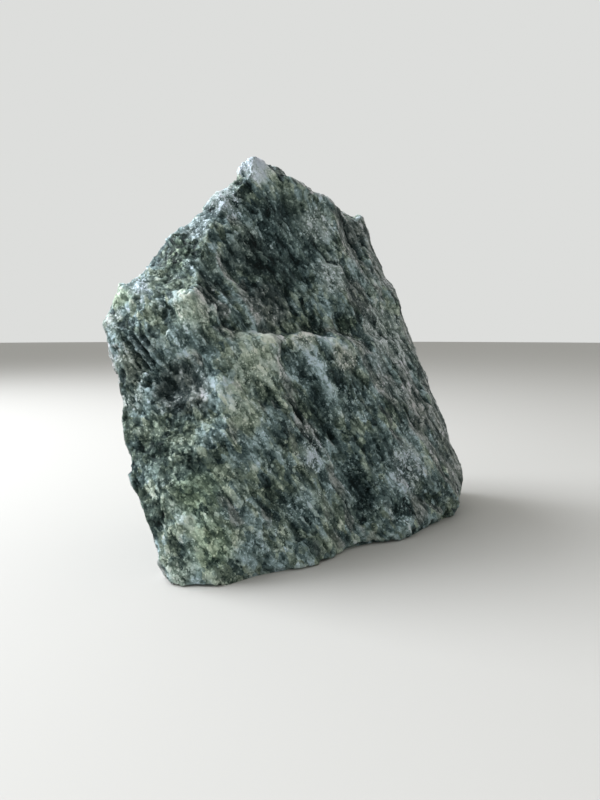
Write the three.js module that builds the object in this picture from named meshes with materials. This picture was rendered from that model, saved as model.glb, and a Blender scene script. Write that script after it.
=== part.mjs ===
// A raw block of soapstone as it comes from the quarry: an angular chunk of green schist, split along
// its foliation on the left and right, broken across at the front and back, and standing on a flat sole.
// Millimetres, +Z up. The front of the stone looks along -Y, and +X is to its right.
//
// The stone is one solid. Its form is a stack of courses, which are the stone's outlines at rising
// heights, trimmed by the planes of its breaks. Neighbouring courses are stitched into facets, the
// facets are divided into small triangles, and the triangles are moved by the scars, ledges and lumps
// of the broken surface.

import * as THREE from "three";
import { ImprovedNoise } from "three/addons/math/ImprovedNoise.js";
import { TessellateModifier } from "three/addons/modifiers/TessellateModifier.js";
import { mergeVertices } from "three/addons/utils/BufferGeometryUtils.js";

// ---------------------------------------------------------------- driving dimensions

const FACET_EDGE = 8.1; // longest side of a triangle on the broken surface
const FACET_HALVINGS = 20; // more than any facet needs to get that small
const WELD = 1e-3; // points closer than this are one point
const CORNER_GAP = 3; // corners of a course closer than this are one corner

const SOLE_INSET = 4; // how far the flat sole lies inside the lowest course
const SOLE_FREE = 0.4; // least height of the broken surface above the sole's plane

// Unevenness of the breaks: the size across and height of its waves, and the part of the endless noise
// that each is taken from.
const SWELL = { size: 46, height: 1.2, from: 3.7 };
const LUMPS = { size: 16, height: 0.7, from: 9.2 };

// Foliation: the leaves of the rock lie across this direction. A break ends them in low ledges, which
// rise slowly over the first share of their pitch and then drop. They waver, and fade in patches.
const ACROSS_LEAVES = new THREE.Vector3(0.86, 0.16, 0.48).normalize();
const LEDGES = { pitch: 13, height: 1.2, rise: 0.6, level: 0.3 };
const WAVER = { size: 34, height: 5, from: 17.3 };
const FADING = { size: 34, shown: 0.55, from: 5.1 };

// Flakes: flat scales of rock, wider along the leaves than across them, each tilted its own way.
const FLAKES = { width: 27, thickness: 14, tilt: 0.18, step: 0.4 };
const CELL_SEEDS = new THREE.Vector3(7919, 6151, 4099); // primes that number the flakes apart
const DRAW_SEED = 15485863; // a prime that numbers the draws of one flake apart

// Bites out of the sharp edges, deepest where the shown share and the noise add up to 1.
const CHIPS = { size: 9, depth: 4, shown: 0.5, from: 13.8 };

const SCAR_FLOOR = 0.45; // share of a scar's radius that is its flat floor

// Outlines of the front at rising heights, from its left edge round to its right edge, as [x, y]
// corners. A third number lifts or lowers one corner off its course.
const COURSES = [
  {
    name: "foot",
    height: 1.6,
    front: [
      [-58, -78, -1], [-36, -80, -1], [-25, -71], [-4, -61], [17, -40], [33, -31, 1],
      [51, -23, 2.6], [71, 5, 3.2], [82, 16, 2.4],
    ],
  },
  {
    name: "ankle",
    height: 22,
    front: [
      [-66, -72], [-53, -76], [-42, -77], [-33, -72], [-21, -63], [4, -46], [26, -31],
      [49, -15], [70, 0], [84, 27],
    ],
  },
  {
    name: "knee",
    height: 46,
    front: [
      [-75, -64], [-58, -69], [-46, -71], [-34, -67], [-22, -60], [-5, -47], [13, -35],
      [36, -19], [56, -4], [77, 28],
    ],
  },
  {
    name: "waist",
    height: 72,
    front: [
      [-78, -57], [-61, -62], [-47, -66], [-37, -64], [-26, -56], [-9, -44], [4, -35],
      [31, -16], [65, 25],
    ],
  },
  {
    name: "lip of the front ledge",
    height: 94,
    front: [
      [-83, -52, -1], [-62, -57, -14], [-46, -60, -3], [-35, -57, 2], [-21, -48, 2],
      [-5, -37, 1], [19, -21], [53, 22],
    ],
  },
  {
    name: "root of the front ledge",
    height: 100,
    front: [
      [-86, -50, 1], [-67, -57, -3], [-47, -61, -1], [-38, -50], [-22, -39], [-5, -28],
      [18, -12], [51, 23],
    ],
  },
  {
    name: "lip of the left shelf",
    height: 114,
    front: [
      [-84, -46, -2], [-64, -53, 1], [-48, -59], [-41, -49, -2], [-21, -34], [0, -20],
      [17, -8], [47, 26],
    ],
  },
  {
    name: "root of the left shelf",
    height: 120,
    front: [
      [-76, -42, 1], [-61, -46, 2], [-47, -51], [-40, -45, -2], [-21, -32], [0, -18],
      [16, -7], [45, 26],
    ],
  },
  {
    name: "brow",
    height: 137,
    front: [[-65, -35], [-46, -45, -2], [-20, -27], [4, -11], [14, -4], [37, 27]],
  },
  {
    name: "neck",
    height: 150,
    front: [[-54, -31, -4], [-42, -38], [-20, -24], [0, -10], [10, -3], [31, 28]],
  },
  {
    name: "right shoulder",
    height: 159,
    front: [[-45, -28], [-35, -32], [-18, -21], [0, -9], [8, -2, -1], [17, 10, -2], [29, 27, 1]],
  },
  {
    name: "crest",
    height: 166,
    front: [[-38, -25, -2], [-30, -29, -1], [-16, -19], [-3, -11], [6, -3, -1]],
  },
  {
    name: "neck of the knob",
    height: 170,
    front: [[-33, -23, -3], [-28, -28, -1], [-13, -17]],
  },
  {
    name: "knob",
    height: 176,
    front: [[-32.5, -23], [-25, -25, 1], [-19, -20, 0.5]],
  },
];

// From the front's right edge each outline runs back by the first step, then through the far corners,
// which lie outside the stone, and returns to the left edge from the last step behind it.
const RIGHT_SIDE = [5, 26];
const FAR_BACK = [[90, 110], [-70, 110]];
const LEFT_SIDE = [-3, 34];

// The breaks that trim the outlines: the way each faces, in degrees from the front towards the right,
// how far it leans back from upright (an overhang is negative), and a point that it goes through.
const BREAKS = [
  { name: "right back", facing: 112, lean: 22, through: [87, 40, 20] },
  { name: "back foot", facing: 168, lean: 6, through: [10, 76, 20] },
  { name: "back crown", facing: 158, lean: 33, through: [24, 46, 140] },
  { name: "left back", facing: 222, lean: -4, through: [-40, 46, 50] },
  { name: "left cleavage", facing: 262, lean: -18, through: [-75, -64, 46] },
  { name: "left heel", facing: 240, lean: -32, through: [-58, 8, 10] },
  { name: "crown slope", facing: 258, lean: 43, through: [-70, -32, 139] },
  { name: "left back crown", facing: 226, lean: 30, through: [-54, 26, 108] },
  { name: "behind the peak", facing: 212, lean: 46, through: [-22, -8, 174] },
  { name: "crest slope", facing: 64, lean: 53, through: [6, -4, 165] },
];

// Places where a spall has left a hollow, or where a knob still stands proud (a negative depth). Each
// follows a short line on the surface, out to a radius.
const SCARS = [
  { name: "hollow under the left shoulder", from: [-52, -63, 80], to: [-49, -64, 68], radius: 15, depth: 5 },
  { name: "scoop of the upper front", from: [-20, -28, 126], to: [-6, -18, 140], radius: 27, depth: 3 },
  { name: "notch at the end of the ledge", from: [17, -13, 102], to: [22, -10, 97], radius: 9, depth: 4 },
  { name: "notch of the crest", from: [14, 20, 165], to: [21, 20, 162], radius: 9, depth: 3 },
  { name: "hollow of the right shoulder", from: [21, 14, 152], to: [28, 12, 138], radius: 9, depth: 3.5 },
  { name: "crease down the front", from: [-8, -41, 90], to: [26, -33, 14], radius: 9, depth: 2.4 },
  { name: "knob beside the ledge", from: [-48, -58, 108], to: [-41, -52, 104], radius: 9, depth: -2.5 },
  { name: "spall at the back", from: [6, 74, 62], to: [-14, 66, 40], radius: 34, depth: 5 },
  { name: "spall of the back crown", from: [10, 50, 128], to: [30, 48, 116], radius: 24, depth: 4 },
  { name: "spall of the left side", from: [-80, -14, 66], to: [-72, 0, 40], radius: 22, depth: 4 },
  { name: "spall of the right side", from: [80, 45, 44], to: [66, 48, 78], radius: 16, depth: 3 },
];

// ---------------------------------------------------------------- the stack of courses

// The plane of a break, its normal pointing out of the stone.
function planeOf({ facing, lean, through }) {
  const turn = THREE.MathUtils.degToRad(facing);
  const tip = THREE.MathUtils.degToRad(lean);
  const normal = new THREE.Vector3(
    Math.sin(turn) * Math.cos(tip),
    -Math.cos(turn) * Math.cos(tip),
    Math.sin(tip),
  );
  return new THREE.Plane().setFromNormalAndCoplanarPoint(normal, new THREE.Vector3(...through));
}

// The part of a ring of corners that lies on the inner side of a plane.
function trim(ring, plane) {
  return ring.flatMap((corner, i) => {
    const next = ring[(i + 1) % ring.length];
    const here = plane.distanceToPoint(corner);
    const there = plane.distanceToPoint(next);
    const kept = here <= 0 ? [corner] : [];
    if (here * there < 0) kept.push(corner.clone().lerp(next, here / (here - there)));
    return kept;
  });
}

// Whether a corner of a ring stands well clear of the one before it.
function isClear(corner, i, ring) {
  return corner.distanceTo(ring.at(i - 1)) > CORNER_GAP;
}

// The corners of one course, trimmed by every break.
function ringOf({ height, front }) {
  const [leftX, leftY] = front[0];
  const [rightX, rightY] = front.at(-1);
  const outline = [
    ...front,
    [rightX + RIGHT_SIDE[0], rightY + RIGHT_SIDE[1]],
    ...FAR_BACK,
    [leftX + LEFT_SIDE[0], leftY + LEFT_SIDE[1]],
  ];
  const corners = outline.map(([x, y, lift = 0]) => new THREE.Vector3(x, y, height + lift));
  return BREAKS.map(planeOf).reduce(trim, corners).filter(isClear);
}

// The flat sole under the foot: the same corners, drawn in towards the middle and down to z = 0.
function soleUnder(foot) {
  const middle = middleOf(foot);
  return foot.map((corner) => {
    const inward = middle.clone().sub(corner).setZ(0).setLength(SOLE_INSET);
    return corner.clone().add(inward).setZ(0);
  });
}

// The mean of a ring's corners.
function middleOf(ring) {
  return ring
    .reduce((sum, corner) => sum.add(corner), new THREE.Vector3())
    .divideScalar(ring.length);
}

// Triangles between two rings of corners, always closed with the shorter of the two diagonals.
function stitch(lower, upper) {
  const triangles = [];
  let i = 0;
  let j = 0;
  while (i < lower.length || j < upper.length) {
    const low = lower[i % lower.length];
    const high = upper[j % upper.length];
    const nextLow = lower[(i + 1) % lower.length];
    const nextHigh = upper[(j + 1) % upper.length];
    const lowIsNear = nextLow.distanceTo(high) < nextHigh.distanceTo(low);
    if (j === upper.length || (i < lower.length && lowIsNear)) {
      triangles.push([low, nextLow, high]);
      i += 1;
    } else {
      triangles.push([low, nextHigh, high]);
      j += 1;
    }
  }
  return triangles;
}

// Triangles that close a ring of corners round its middle, seen from above or from below.
function cap(ring, fromAbove) {
  const middle = middleOf(ring);
  return ring.map((corner, i) => {
    const next = ring[(i + 1) % ring.length];
    return fromAbove ? [corner, next, middle] : [next, corner, middle];
  });
}

// The whole angular form, before its surface is roughened.
function blockGeometry() {
  const rings = COURSES.map(ringOf);
  rings.unshift(soleUnder(rings[0]));
  const triangles = [
    ...cap(rings[0], false),
    ...rings.slice(1).flatMap((ring, i) => stitch(rings[i], ring)),
    ...cap(rings.at(-1), true),
  ];
  return new THREE.BufferGeometry().setFromPoints(triangles.flat());
}

// ---------------------------------------------------------------- the broken surface

const perlin = new ImprovedNoise();

// Smooth noise from about -1 to 1, with features of a pattern's size.
function noise(point, { size, from }) {
  return perlin.noise(point.x / size + from, point.y / size + from, point.z / size + from);
}

// Height of the leaf ends at a point: a slow rise along each leaf and a sudden drop to the next.
function ledges(point) {
  const across = point.dot(ACROSS_LEAVES) + WAVER.height * noise(point, WAVER);
  const phase = THREE.MathUtils.euclideanModulo(across / LEDGES.pitch, 1);
  const profile = phase - THREE.MathUtils.smoothstep(phase, LEDGES.rise, 1) - LEDGES.level;
  const strength = THREE.MathUtils.clamp(FADING.shown + noise(point, FADING), 0, 1);
  return LEDGES.height * strength * profile;
}

// A number from 0 to 1 that belongs to one cell of a grid, always the same for that cell.
function chance(cell, draw) {
  return THREE.MathUtils.seededRandom(cell.dot(CELL_SEEDS) + draw * DRAW_SEED);
}

// Three such numbers, starting from the given draw.
function chances(cell, draw) {
  return new THREE.Vector3(chance(cell, draw), chance(cell, draw + 1), chance(cell, draw + 2));
}

// The flakes are the cells round scattered centres, in a space that is squashed across the leaves.
const leavesLevel = new THREE.Quaternion().setFromUnitVectors(ACROSS_LEAVES, new THREE.Vector3(0, 0, 1));
const toFlakes = new THREE.Matrix4()
  .makeScale(1 / FLAKES.width, 1 / FLAKES.width, 1 / FLAKES.thickness)
  .multiply(new THREE.Matrix4().makeRotationFromQuaternion(leavesLevel));
const STEPS = [-1, 0, 1];
const NEIGHBOURS = STEPS.flatMap((x) =>
  STEPS.flatMap((y) => STEPS.map((z) => new THREE.Vector3(x, y, z))),
);

// Height of the flake that a point lies on: the flake's own step, and its slope away from its centre.
function flakes(point) {
  const place = point.clone().applyMatrix4(toFlakes);
  const home = place.clone().floor();
  const near = NEIGHBOURS.map((step) => {
    const cell = home.clone().add(step);
    const away = place.clone().sub(cell).sub(chances(cell, 0));
    return { cell, away, distance: away.length() };
  });
  const { cell, away } = near.reduce((best, next) => (next.distance < best.distance ? next : best));
  const slope = chances(cell, 3).subScalar(0.5).multiplyScalar(FLAKES.tilt * FLAKES.width);
  return slope.dot(away) + FLAKES.step * (chance(cell, 6) - 0.5);
}

// How far the scars lower the surface at a point: a flat floor with a steep rim.
function scarred(point) {
  const line = new THREE.Line3();
  const foot = new THREE.Vector3();
  return SCARS.reduce((depth, scar) => {
    line.start.set(...scar.from);
    line.end.set(...scar.to);
    const reach = line.closestPointToPoint(point, true, foot).distanceTo(point) / scar.radius;
    return depth + scar.depth * (1 - THREE.MathUtils.smoothstep(reach, SCAR_FLOOR, 1));
  }, 0);
}

// How far a point of the surface stands out from the facet that it lies on.
function relief(point) {
  const swell = SWELL.height * noise(point, SWELL);
  const lumps = LUMPS.height * noise(point, LUMPS);
  return swell + lumps + ledges(point) + flakes(point) - scarred(point);
}

// For every vertex, the mean of the unit normals of the faces round it, weighted by their area. It is
// short where the faces turn sharply, so its length also tells how sharp the edge is there.
function meanNormals(geometry) {
  const position = geometry.getAttribute("position");
  const index = geometry.getIndex();
  const means = Array.from({ length: position.count }, () => new THREE.Vector3());
  const areas = new Float32Array(position.count);
  const triangle = new THREE.Triangle();
  const normal = new THREE.Vector3();
  for (let i = 0; i < index.count; i += 3) {
    const corners = [index.getX(i), index.getX(i + 1), index.getX(i + 2)];
    triangle.setFromAttributeAndIndices(position, ...corners);
    triangle.getNormal(normal);
    const area = triangle.getArea();
    for (const corner of corners) {
      means[corner].addScaledVector(normal, area);
      areas[corner] += area;
    }
  }
  means.forEach((mean, i) => mean.divideScalar(areas[i]));
  return means;
}

// Moves every vertex above the sole by the relief and chips the sharp edges.
function roughen(geometry) {
  const position = geometry.getAttribute("position");
  const means = meanNormals(geometry);
  const point = new THREE.Vector3();
  for (let i = 0; i < position.count; i += 1) {
    point.fromBufferAttribute(position, i);
    if (point.z < WELD) continue;
    const sharpness = 1 - means[i].length();
    const bite = CHIPS.depth * sharpness * Math.max(0, CHIPS.shown + noise(point, CHIPS));
    point.addScaledVector(means[i].normalize(), relief(point) - bite);
    position.setXYZ(i, point.x, point.y, Math.max(point.z, SOLE_FREE));
  }
}

// The stone's surface, with its origin under the middle of its box, at the height of its sole.
function stoneGeometry() {
  const divided = new TessellateModifier(FACET_EDGE, FACET_HALVINGS).modify(blockGeometry());
  const geometry = mergeVertices(divided, WELD);
  roughen(geometry);
  geometry.computeBoundingBox();
  const box = geometry.boundingBox;
  geometry.translate(-(box.min.x + box.max.x) / 2, -(box.min.y + box.max.y) / 2, -box.min.z);
  geometry.computeVertexNormals();
  return geometry;
}

// ---------------------------------------------------------------- the stone

const stone = new THREE.Mesh(
  stoneGeometry(),
  new THREE.MeshStandardMaterial({ color: 0x4a564e, roughness: 0.72, metalness: 0 }),
);
stone.name = "soapstone";

const part = new THREE.Group();
part.add(stone);

export default part;
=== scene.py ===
"""A raw block of soapstone on a pale floor: dark green rock, broken all round and split along its grain.

The stone is a finely divided copy of its solid, into which the broken surface is carved in layers:
the ends of the rock's leaves, streaks along its stretch, flakes, lumps and pits. Its finish is a mottled
rock of dark green chlorite and pale talc. Meshes are in metres. The sizes and places of what is on the
stone's surface are in millimetres.
"""

import logging
import math
from abc import ABC, abstractmethod
from collections.abc import Iterable
from dataclasses import dataclass, field
from enum import Enum

import bmesh
import bpy
from mathutils import Matrix, Vector, noise


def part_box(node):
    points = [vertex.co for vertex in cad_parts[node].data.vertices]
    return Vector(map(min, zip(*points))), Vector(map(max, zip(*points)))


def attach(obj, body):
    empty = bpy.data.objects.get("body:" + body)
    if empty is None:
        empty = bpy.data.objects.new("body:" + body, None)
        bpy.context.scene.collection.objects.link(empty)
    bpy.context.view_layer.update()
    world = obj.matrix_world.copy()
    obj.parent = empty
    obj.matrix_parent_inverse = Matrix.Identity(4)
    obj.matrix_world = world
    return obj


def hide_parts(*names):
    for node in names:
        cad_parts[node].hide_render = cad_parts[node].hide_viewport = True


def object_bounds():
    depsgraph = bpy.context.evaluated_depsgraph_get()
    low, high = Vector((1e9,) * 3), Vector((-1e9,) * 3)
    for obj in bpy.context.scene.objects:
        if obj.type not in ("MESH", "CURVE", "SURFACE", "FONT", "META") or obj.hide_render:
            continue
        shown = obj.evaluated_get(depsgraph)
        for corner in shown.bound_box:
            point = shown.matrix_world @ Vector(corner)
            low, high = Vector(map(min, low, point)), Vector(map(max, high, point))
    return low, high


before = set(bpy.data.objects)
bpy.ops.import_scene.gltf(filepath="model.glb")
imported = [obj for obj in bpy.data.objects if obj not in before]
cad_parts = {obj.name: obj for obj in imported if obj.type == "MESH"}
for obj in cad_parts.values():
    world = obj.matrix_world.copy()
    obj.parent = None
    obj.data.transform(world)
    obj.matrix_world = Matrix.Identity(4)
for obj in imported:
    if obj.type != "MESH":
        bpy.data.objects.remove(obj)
CAD_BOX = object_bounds()

MM = 0.001  # one millimetre in metres
TOUCHING = 0.01 * MM  # points of the solid that are closer than this are one
RIDGE = "ridge"  # how far a point stands proud of its close surroundings
BROW = "brow"  # the same, against its wide surroundings
LEAF = "leaf"  # how far the surface lies along the rock's leaves
VEIN = "vein"  # how pale the veins leave a point, negative where they darken it
log = logging.getLogger("soapstone")


def smooth_step(value: float, low: float, high: float) -> float:
    """Rises smoothly from 0 at one value to 1 at another.

    Args:
        value: The number to judge.
        low: Where the rise starts.
        high: Where it ends.

    Returns:
        A share from 0 to 1.
    """
    share = min(max((value - low) / (high - low), 0.0), 1.0)
    return share * share * (3.0 - 2.0 * share)


# ---------------------------------------------------------------- the rock's grain


@dataclass(frozen=True)
class Grain:
    """The directions of the rock, which has leaves, as slate has.

    Attributes:
        across: The direction that the leaves lie across.
        stretch: Roughly the direction that they are stretched along.
    """

    across: Vector
    stretch: Vector

    def turn(self) -> Matrix:
        """Works out the turn from the grain to the stone.

        Returns:
            The matrix whose columns are the directions along, sideways of and across the grain.
        """
        across = self.across.normalized()
        along = (self.stretch - across * self.stretch.dot(across)).normalized()
        return Matrix((along, across.cross(along), across)).transposed()


GRAIN = Grain(across=Vector((0.82, 0.15, 0.55)), stretch=Vector((0.47, 0.36, -0.80)))


def counted(place: Vector, size: Vector, seed: float) -> Vector:
    """A place counted in sizes of a pattern, and moved to the pattern's own part of the noise."""
    return Vector(place[i] / size[i] + seed for i in range(3))


@dataclass(frozen=True)
class Spot:
    """One point of the surface as the layers of relief see it, in millimetres.

    Attributes:
        point: Where it is.
        normal: The way the surface faces there.
        grain: The same place, measured along, sideways of and across the grain.
        cut: From 0 where the surface lies along a leaf to 1 where it cuts straight across them.
    """

    point: Vector
    normal: Vector
    grain: Vector
    cut: float


# ---------------------------------------------------------------- layers of relief


class Layer(ABC):
    """A layer of the broken surface."""

    @abstractmethod
    def rise(self, spot: Spot) -> float:
        """How far the layer lifts a spot of the surface.

        Args:
            spot: The point of the surface.

        Returns:
            The lift in millimetres, negative where the layer sinks.
        """


@dataclass(frozen=True)
class Lumps(Layer):
    """Soft rises and falls, as broad as they are long, lower where the surface lies along a leaf.

    Attributes:
        size: How far apart they are, in millimetres.
        height: Their height, in millimetres.
        seed: Which part of the noise this is.
        lengthwise: Share of their height that is left where the surface lies along a leaf.
    """

    size: float
    height: float
    seed: float
    lengthwise: float = 0.5

    def rise(self, spot: Spot) -> float:
        """The lift of the lumps, from about minus to plus their height."""
        strength = self.lengthwise + (1.0 - self.lengthwise) * spot.cut
        return self.height * strength * noise.noise(spot.point / self.size + Vector((self.seed,) * 3))


@dataclass(frozen=True)
class LeafEnds(Layer):
    """The ends of the leaves: each rises slowly and drops at once to the next.

    Attributes:
        pitch: Thickness of a leaf, in millimetres.
        height: Height of the drop, in millimetres.
        waver: How far the leaves' edges stray from straight, in millimetres.
        waver_size: Size of their bends and of the places where they show, in millimetres.
        shown: How much of the stone they show on: more of it as this goes up.
        seed: Which part of the noise this is.
        brink: Where across a leaf the drop begins, from 0 to 1.
        plain: Mean height of a leaf's end, as a share of the height.
        uneven: How far one leaf's end differs from that, as such a share.
    """

    pitch: float
    height: float
    waver: float
    waver_size: float
    shown: float
    seed: float
    brink: float = 0.72
    plain: float = 0.6
    uneven: float = 0.4

    def rise(self, spot: Spot) -> float:
        """The lift of the leaf that ends at a spot.

        Args:
            spot: The point of the surface.

        Returns:
            The lift in millimetres, from 0 to less than the height.
        """
        shift = Vector((self.seed,) * 3)
        wander = self.waver * noise.noise(spot.point / self.waver_size + shift)
        leaf, phase = divmod((spot.grain.z + wander) / self.pitch, 1.0)
        own = self.plain + self.uneven * noise.cell(Vector((leaf, self.seed, 0.5)))
        profile = phase - smooth_step(phase, self.brink, 1.0)
        clouds = noise.noise(spot.point / self.waver_size - shift)
        patch = smooth_step(clouds, -self.shown, 1.0 - self.shown)
        return self.height * own * spot.cut * patch * profile


@dataclass(frozen=True)
class Streaks(Layer):
    """Ribs and furrows drawn out along the grain, strongest where the surface lies along a leaf.

    Attributes:
        size: How far apart they are along, sideways of and across the grain, in millimetres.
        height: Their height, in millimetres.
        crosswise: Share of their height that is left where the surface cuts across the leaves.
        seed: Which part of the noise this is.
    """

    size: Vector
    height: float
    crosswise: float
    seed: float

    def rise(self, spot: Spot) -> float:
        """The lift of the ribs, sharp crests between round furrows.

        Args:
            spot: The point of the surface.

        Returns:
            The lift in millimetres, from half the height on a crest down.
        """
        place = counted(spot.grain, self.size, self.seed)
        strength = 1.0 - (1.0 - self.crosswise) * spot.cut
        return self.height * strength * (0.5 - 2.0 * abs(noise.noise(place)))


@dataclass(frozen=True)
class Flakes(Layer):
    """Flat scales of rock, each tilted its own way and a little higher or lower than the next.

    Attributes:
        size: Their size along, sideways of and across the grain, in millimetres.
        tilt: How steeply they may be tilted, as a lift in millimetres at one size from the middle.
        step: How much higher or lower one may be than the next, in millimetres.
        seed: Which part of the noise this is.
        bend: How crooked their borders are.
        lengthwise: Share of their height that is left where the surface lies along a leaf.
    """

    size: Vector
    tilt: float
    step: float
    seed: float
    bend: float = 0.35
    lengthwise: float = 0.35

    def rise(self, spot: Spot) -> float:
        """The lift of the flake that a spot lies on.

        Args:
            spot: The point of the surface.

        Returns:
            The lift in millimetres, negative on the low side of a tilted flake.
        """
        place = counted(spot.grain, self.size, self.seed)
        bent = place + self.bend * noise.noise_vector(place * 2.0)
        centre = noise.voronoi(bent)[1][0]
        lean = noise.cell_vector(centre) * 2.0 - Vector((1.0, 1.0, 1.0))
        strength = self.lengthwise + (1.0 - self.lengthwise) * spot.cut
        return strength * (self.tilt * lean.dot(place - centre) + self.step * noise.cell(centre))


@dataclass(frozen=True)
class Pits(Layer):
    """Small round holes where a grain has dropped out.

    Attributes:
        size: How far apart the grains are that may have dropped out, in millimetres.
        depth: Depth of a pit, in millimetres.
        share: Share of those grains that are gone.
        seed: Which part of the noise this is.
        flat: How far a pit's bottom reaches from its middle, as a share of the size.
        rim: How far the pit reaches, as such a share.
    """

    size: float
    depth: float
    share: float
    seed: float
    flat: float = 0.2
    rim: float = 0.5

    def rise(self, spot: Spot) -> float:
        """The depth of the pit at a spot.

        Args:
            spot: The point of the surface.

        Returns:
            The depth in millimetres as a negative number, or 0 between the pits.
        """
        distances, centres = noise.voronoi(spot.point / self.size + Vector((self.seed,) * 3))
        if noise.cell(centres[0]) < 1.0 - 2.0 * self.share:
            return 0.0
        return -self.depth * (1.0 - smooth_step(distances[0], self.flat, self.rim))


@dataclass(frozen=True)
class Seam(Layer):
    """A rib along a line over the surface, or a groove where its height is negative, in millimetres.

    Attributes:
        line: Points of the line.
        width: How far the rib or groove reaches to each side.
        height: Its height.
        waver: How far it strays from its line.
        waver_size: Size of its bends.
        slack: How far its line may pass over or under the surface.
        fading: Share of the line over which it fades in at the start, and out at the end.
        stub: Share of the line past its ends at which it would be gone altogether.
    """

    line: tuple[Vector, ...]
    width: float
    height: float
    waver: float = 0.0
    waver_size: float = 6.0
    slack: float = 4.0
    fading: float = 0.2
    stub: float = 0.05

    def rise(self, spot: Spot) -> float:
        """The lift of the rib at a spot.

        Args:
            spot: The point of the surface.

        Returns:
            The lift in millimetres, which fades out at the line's ends.
        """
        point = spot.point
        if self.waver:
            point = point + self.waver * noise.noise_vector(spot.point / self.waver_size)
        apart = math.inf
        share = 0.0
        for i in range(len(self.line) - 1):
            step = self.line[i + 1] - self.line[i]
            along = min(max((point - self.line[i]).dot(step) / step.length_squared, 0.0), 1.0)
            offset = point - self.line[i] - step * along
            lift = offset.dot(spot.normal)
            reach = (offset - lift * spot.normal).length + max(abs(lift) - self.slack, 0.0)
            if reach < apart:
                apart = reach
                share = (i + along) / (len(self.line) - 1)
        fade = smooth_step(min(share, 1.0 - share), -self.stub, self.fading)
        return self.height * fade * math.exp(-((apart / self.width) ** 2))


@dataclass(frozen=True)
class Dent(Layer):
    """A round hollow in the surface, or a bulge where its depth is negative, in millimetres.

    Attributes:
        centre: Its middle.
        reach: How far it goes.
        depth: How deep it is in its middle.
    """

    centre: Vector
    reach: float
    depth: float

    def rise(self, spot: Spot) -> float:
        """The depth of the hollow at the spot."""
        return -self.depth * math.exp(-(((spot.point - self.centre).length / self.reach) ** 2))


def torn_shoulder() -> list[Layer]:
    """Three grooves side by side on the left shoulder, where a leaf was torn off.

    Returns:
        The grooves, and the ribs between them.
    """
    rib_offset = 2.1
    layers: list[Layer] = []
    for i in range(3):
        start = Vector((-79.5 + 4.2 * i, -54.8 - 0.7 * i, 98.5 + 0.6 * i))
        end = Vector((-66.5 + 3.2 * i, -56.4 - 0.8 * i, 82.0 + 2.0 * i))
        across = (end - start).cross(Vector((0.0, 1.0, 0.0))).normalized() * rib_offset
        layers.append(Seam((start, end), width=1.3, height=-2.4))
        layers.append(Seam((start - across, end - across), width=1.1, height=0.8))
    return layers


def ledge_and_shelf() -> list[Layer]:
    """The ledge across the front, the foot of the scoop above it, and the arched shelf to its left.

    Returns:
        The rib along each, the groove behind the ledge, and the hollow at its right end.
    """
    ledge = [
        (-34, -57, 90), (-20, -47, 95), (-12, -38, 95.5), (-4, -33, 96.5), (4, -31, 94.5), (14, -26, 92)
    ]
    foot = [(-31, -48, 99), (-20, -40, 101), (-10, -31, 101), (0, -26, 102), (10, -19, 102)]
    shelf = [(-63, -52, 107), (-54, -58, 113), (-45, -57, 114), (-39, -50, 110), (-34, -47, 103)]
    return [
        Seam(tuple(map(Vector, ledge)), width=3.4, height=2.0, waver=2.0),
        Seam(tuple(map(Vector, foot)), width=5.5, height=-2.4, waver=2.0),
        Seam(tuple(map(Vector, shelf)), width=3.6, height=1.3, waver=2.0),
        Dent(Vector((15, -14, 98)), reach=4.5, depth=2.6),
    ]


def long_streaks() -> list[Layer]:
    """The furrow down the right of the front where the dark leaves end, and the long ribs beside it.

    Returns:
        The furrow and the ribs.
    """
    furrow = [(-8, -36, 92), (8, -33, 60), (23, -31, 24), (31, -31, 6)]
    ribs = (
        [(-17, -47, 89), (-11, -41, 77), (-5, -41, 62)],
        [(-4, -32, 95), (3, -33, 80), (10, -33, 64)],
        [(-6, -43, 62), (4, -40, 48), (12, -37, 36)],
        [(16, -27, 80), (27, -26, 58), (38, -21, 38)],
        [(-30, -57, 74), (-22, -56, 56), (-12, -53, 40)],
    )
    return [
        Seam(tuple(map(Vector, furrow)), width=4.5, height=-1.5, waver=2.5),
        *(Seam(tuple(map(Vector, rib)), width=1.8, height=1.0, waver=1.5) for rib in ribs),
    ]


def worn_crest() -> Layer:
    """The edge between the crown and the scoop, worn down along its length."""
    crest = [(-25, -26, 177), (-30, -28, 165), (-37, -35, 147), (-41, -43, 130), (-44, -48, 119)]
    return Seam(tuple(map(Vector, crest)), width=4.5, height=-1.2, waver=3.5)


# ---------------------------------------------------------------- veins


@dataclass(frozen=True)
class Vein:
    """A thin pale or dark line of mineral along the surface, or a spot; the first of the veins is a
    painted glint.

    Attributes:
        line: Points of the line, in millimetres.
        width: How far it reaches to each side, in millimetres.
        shade: How pale it is, negative if it is dark.
        waver: How far it strays from its line, as a share of its width.
        most_waver: How far it strays at most, in millimetres.
    """

    line: tuple[tuple[float, float, float], ...]
    width: float
    shade: float
    waver: float = 0.8
    most_waver: float = 1.6

    def strength(self, spot: Spot) -> float:
        """How much the vein changes the shade at a spot.

        Args:
            spot: The point of the surface.

        Returns:
            The change of shade, 0 away from the vein.
        """
        waver = min(self.waver * self.width, self.most_waver)
        return Seam(tuple(map(Vector, self.line)), self.width, self.shade, waver).rise(spot)


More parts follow.
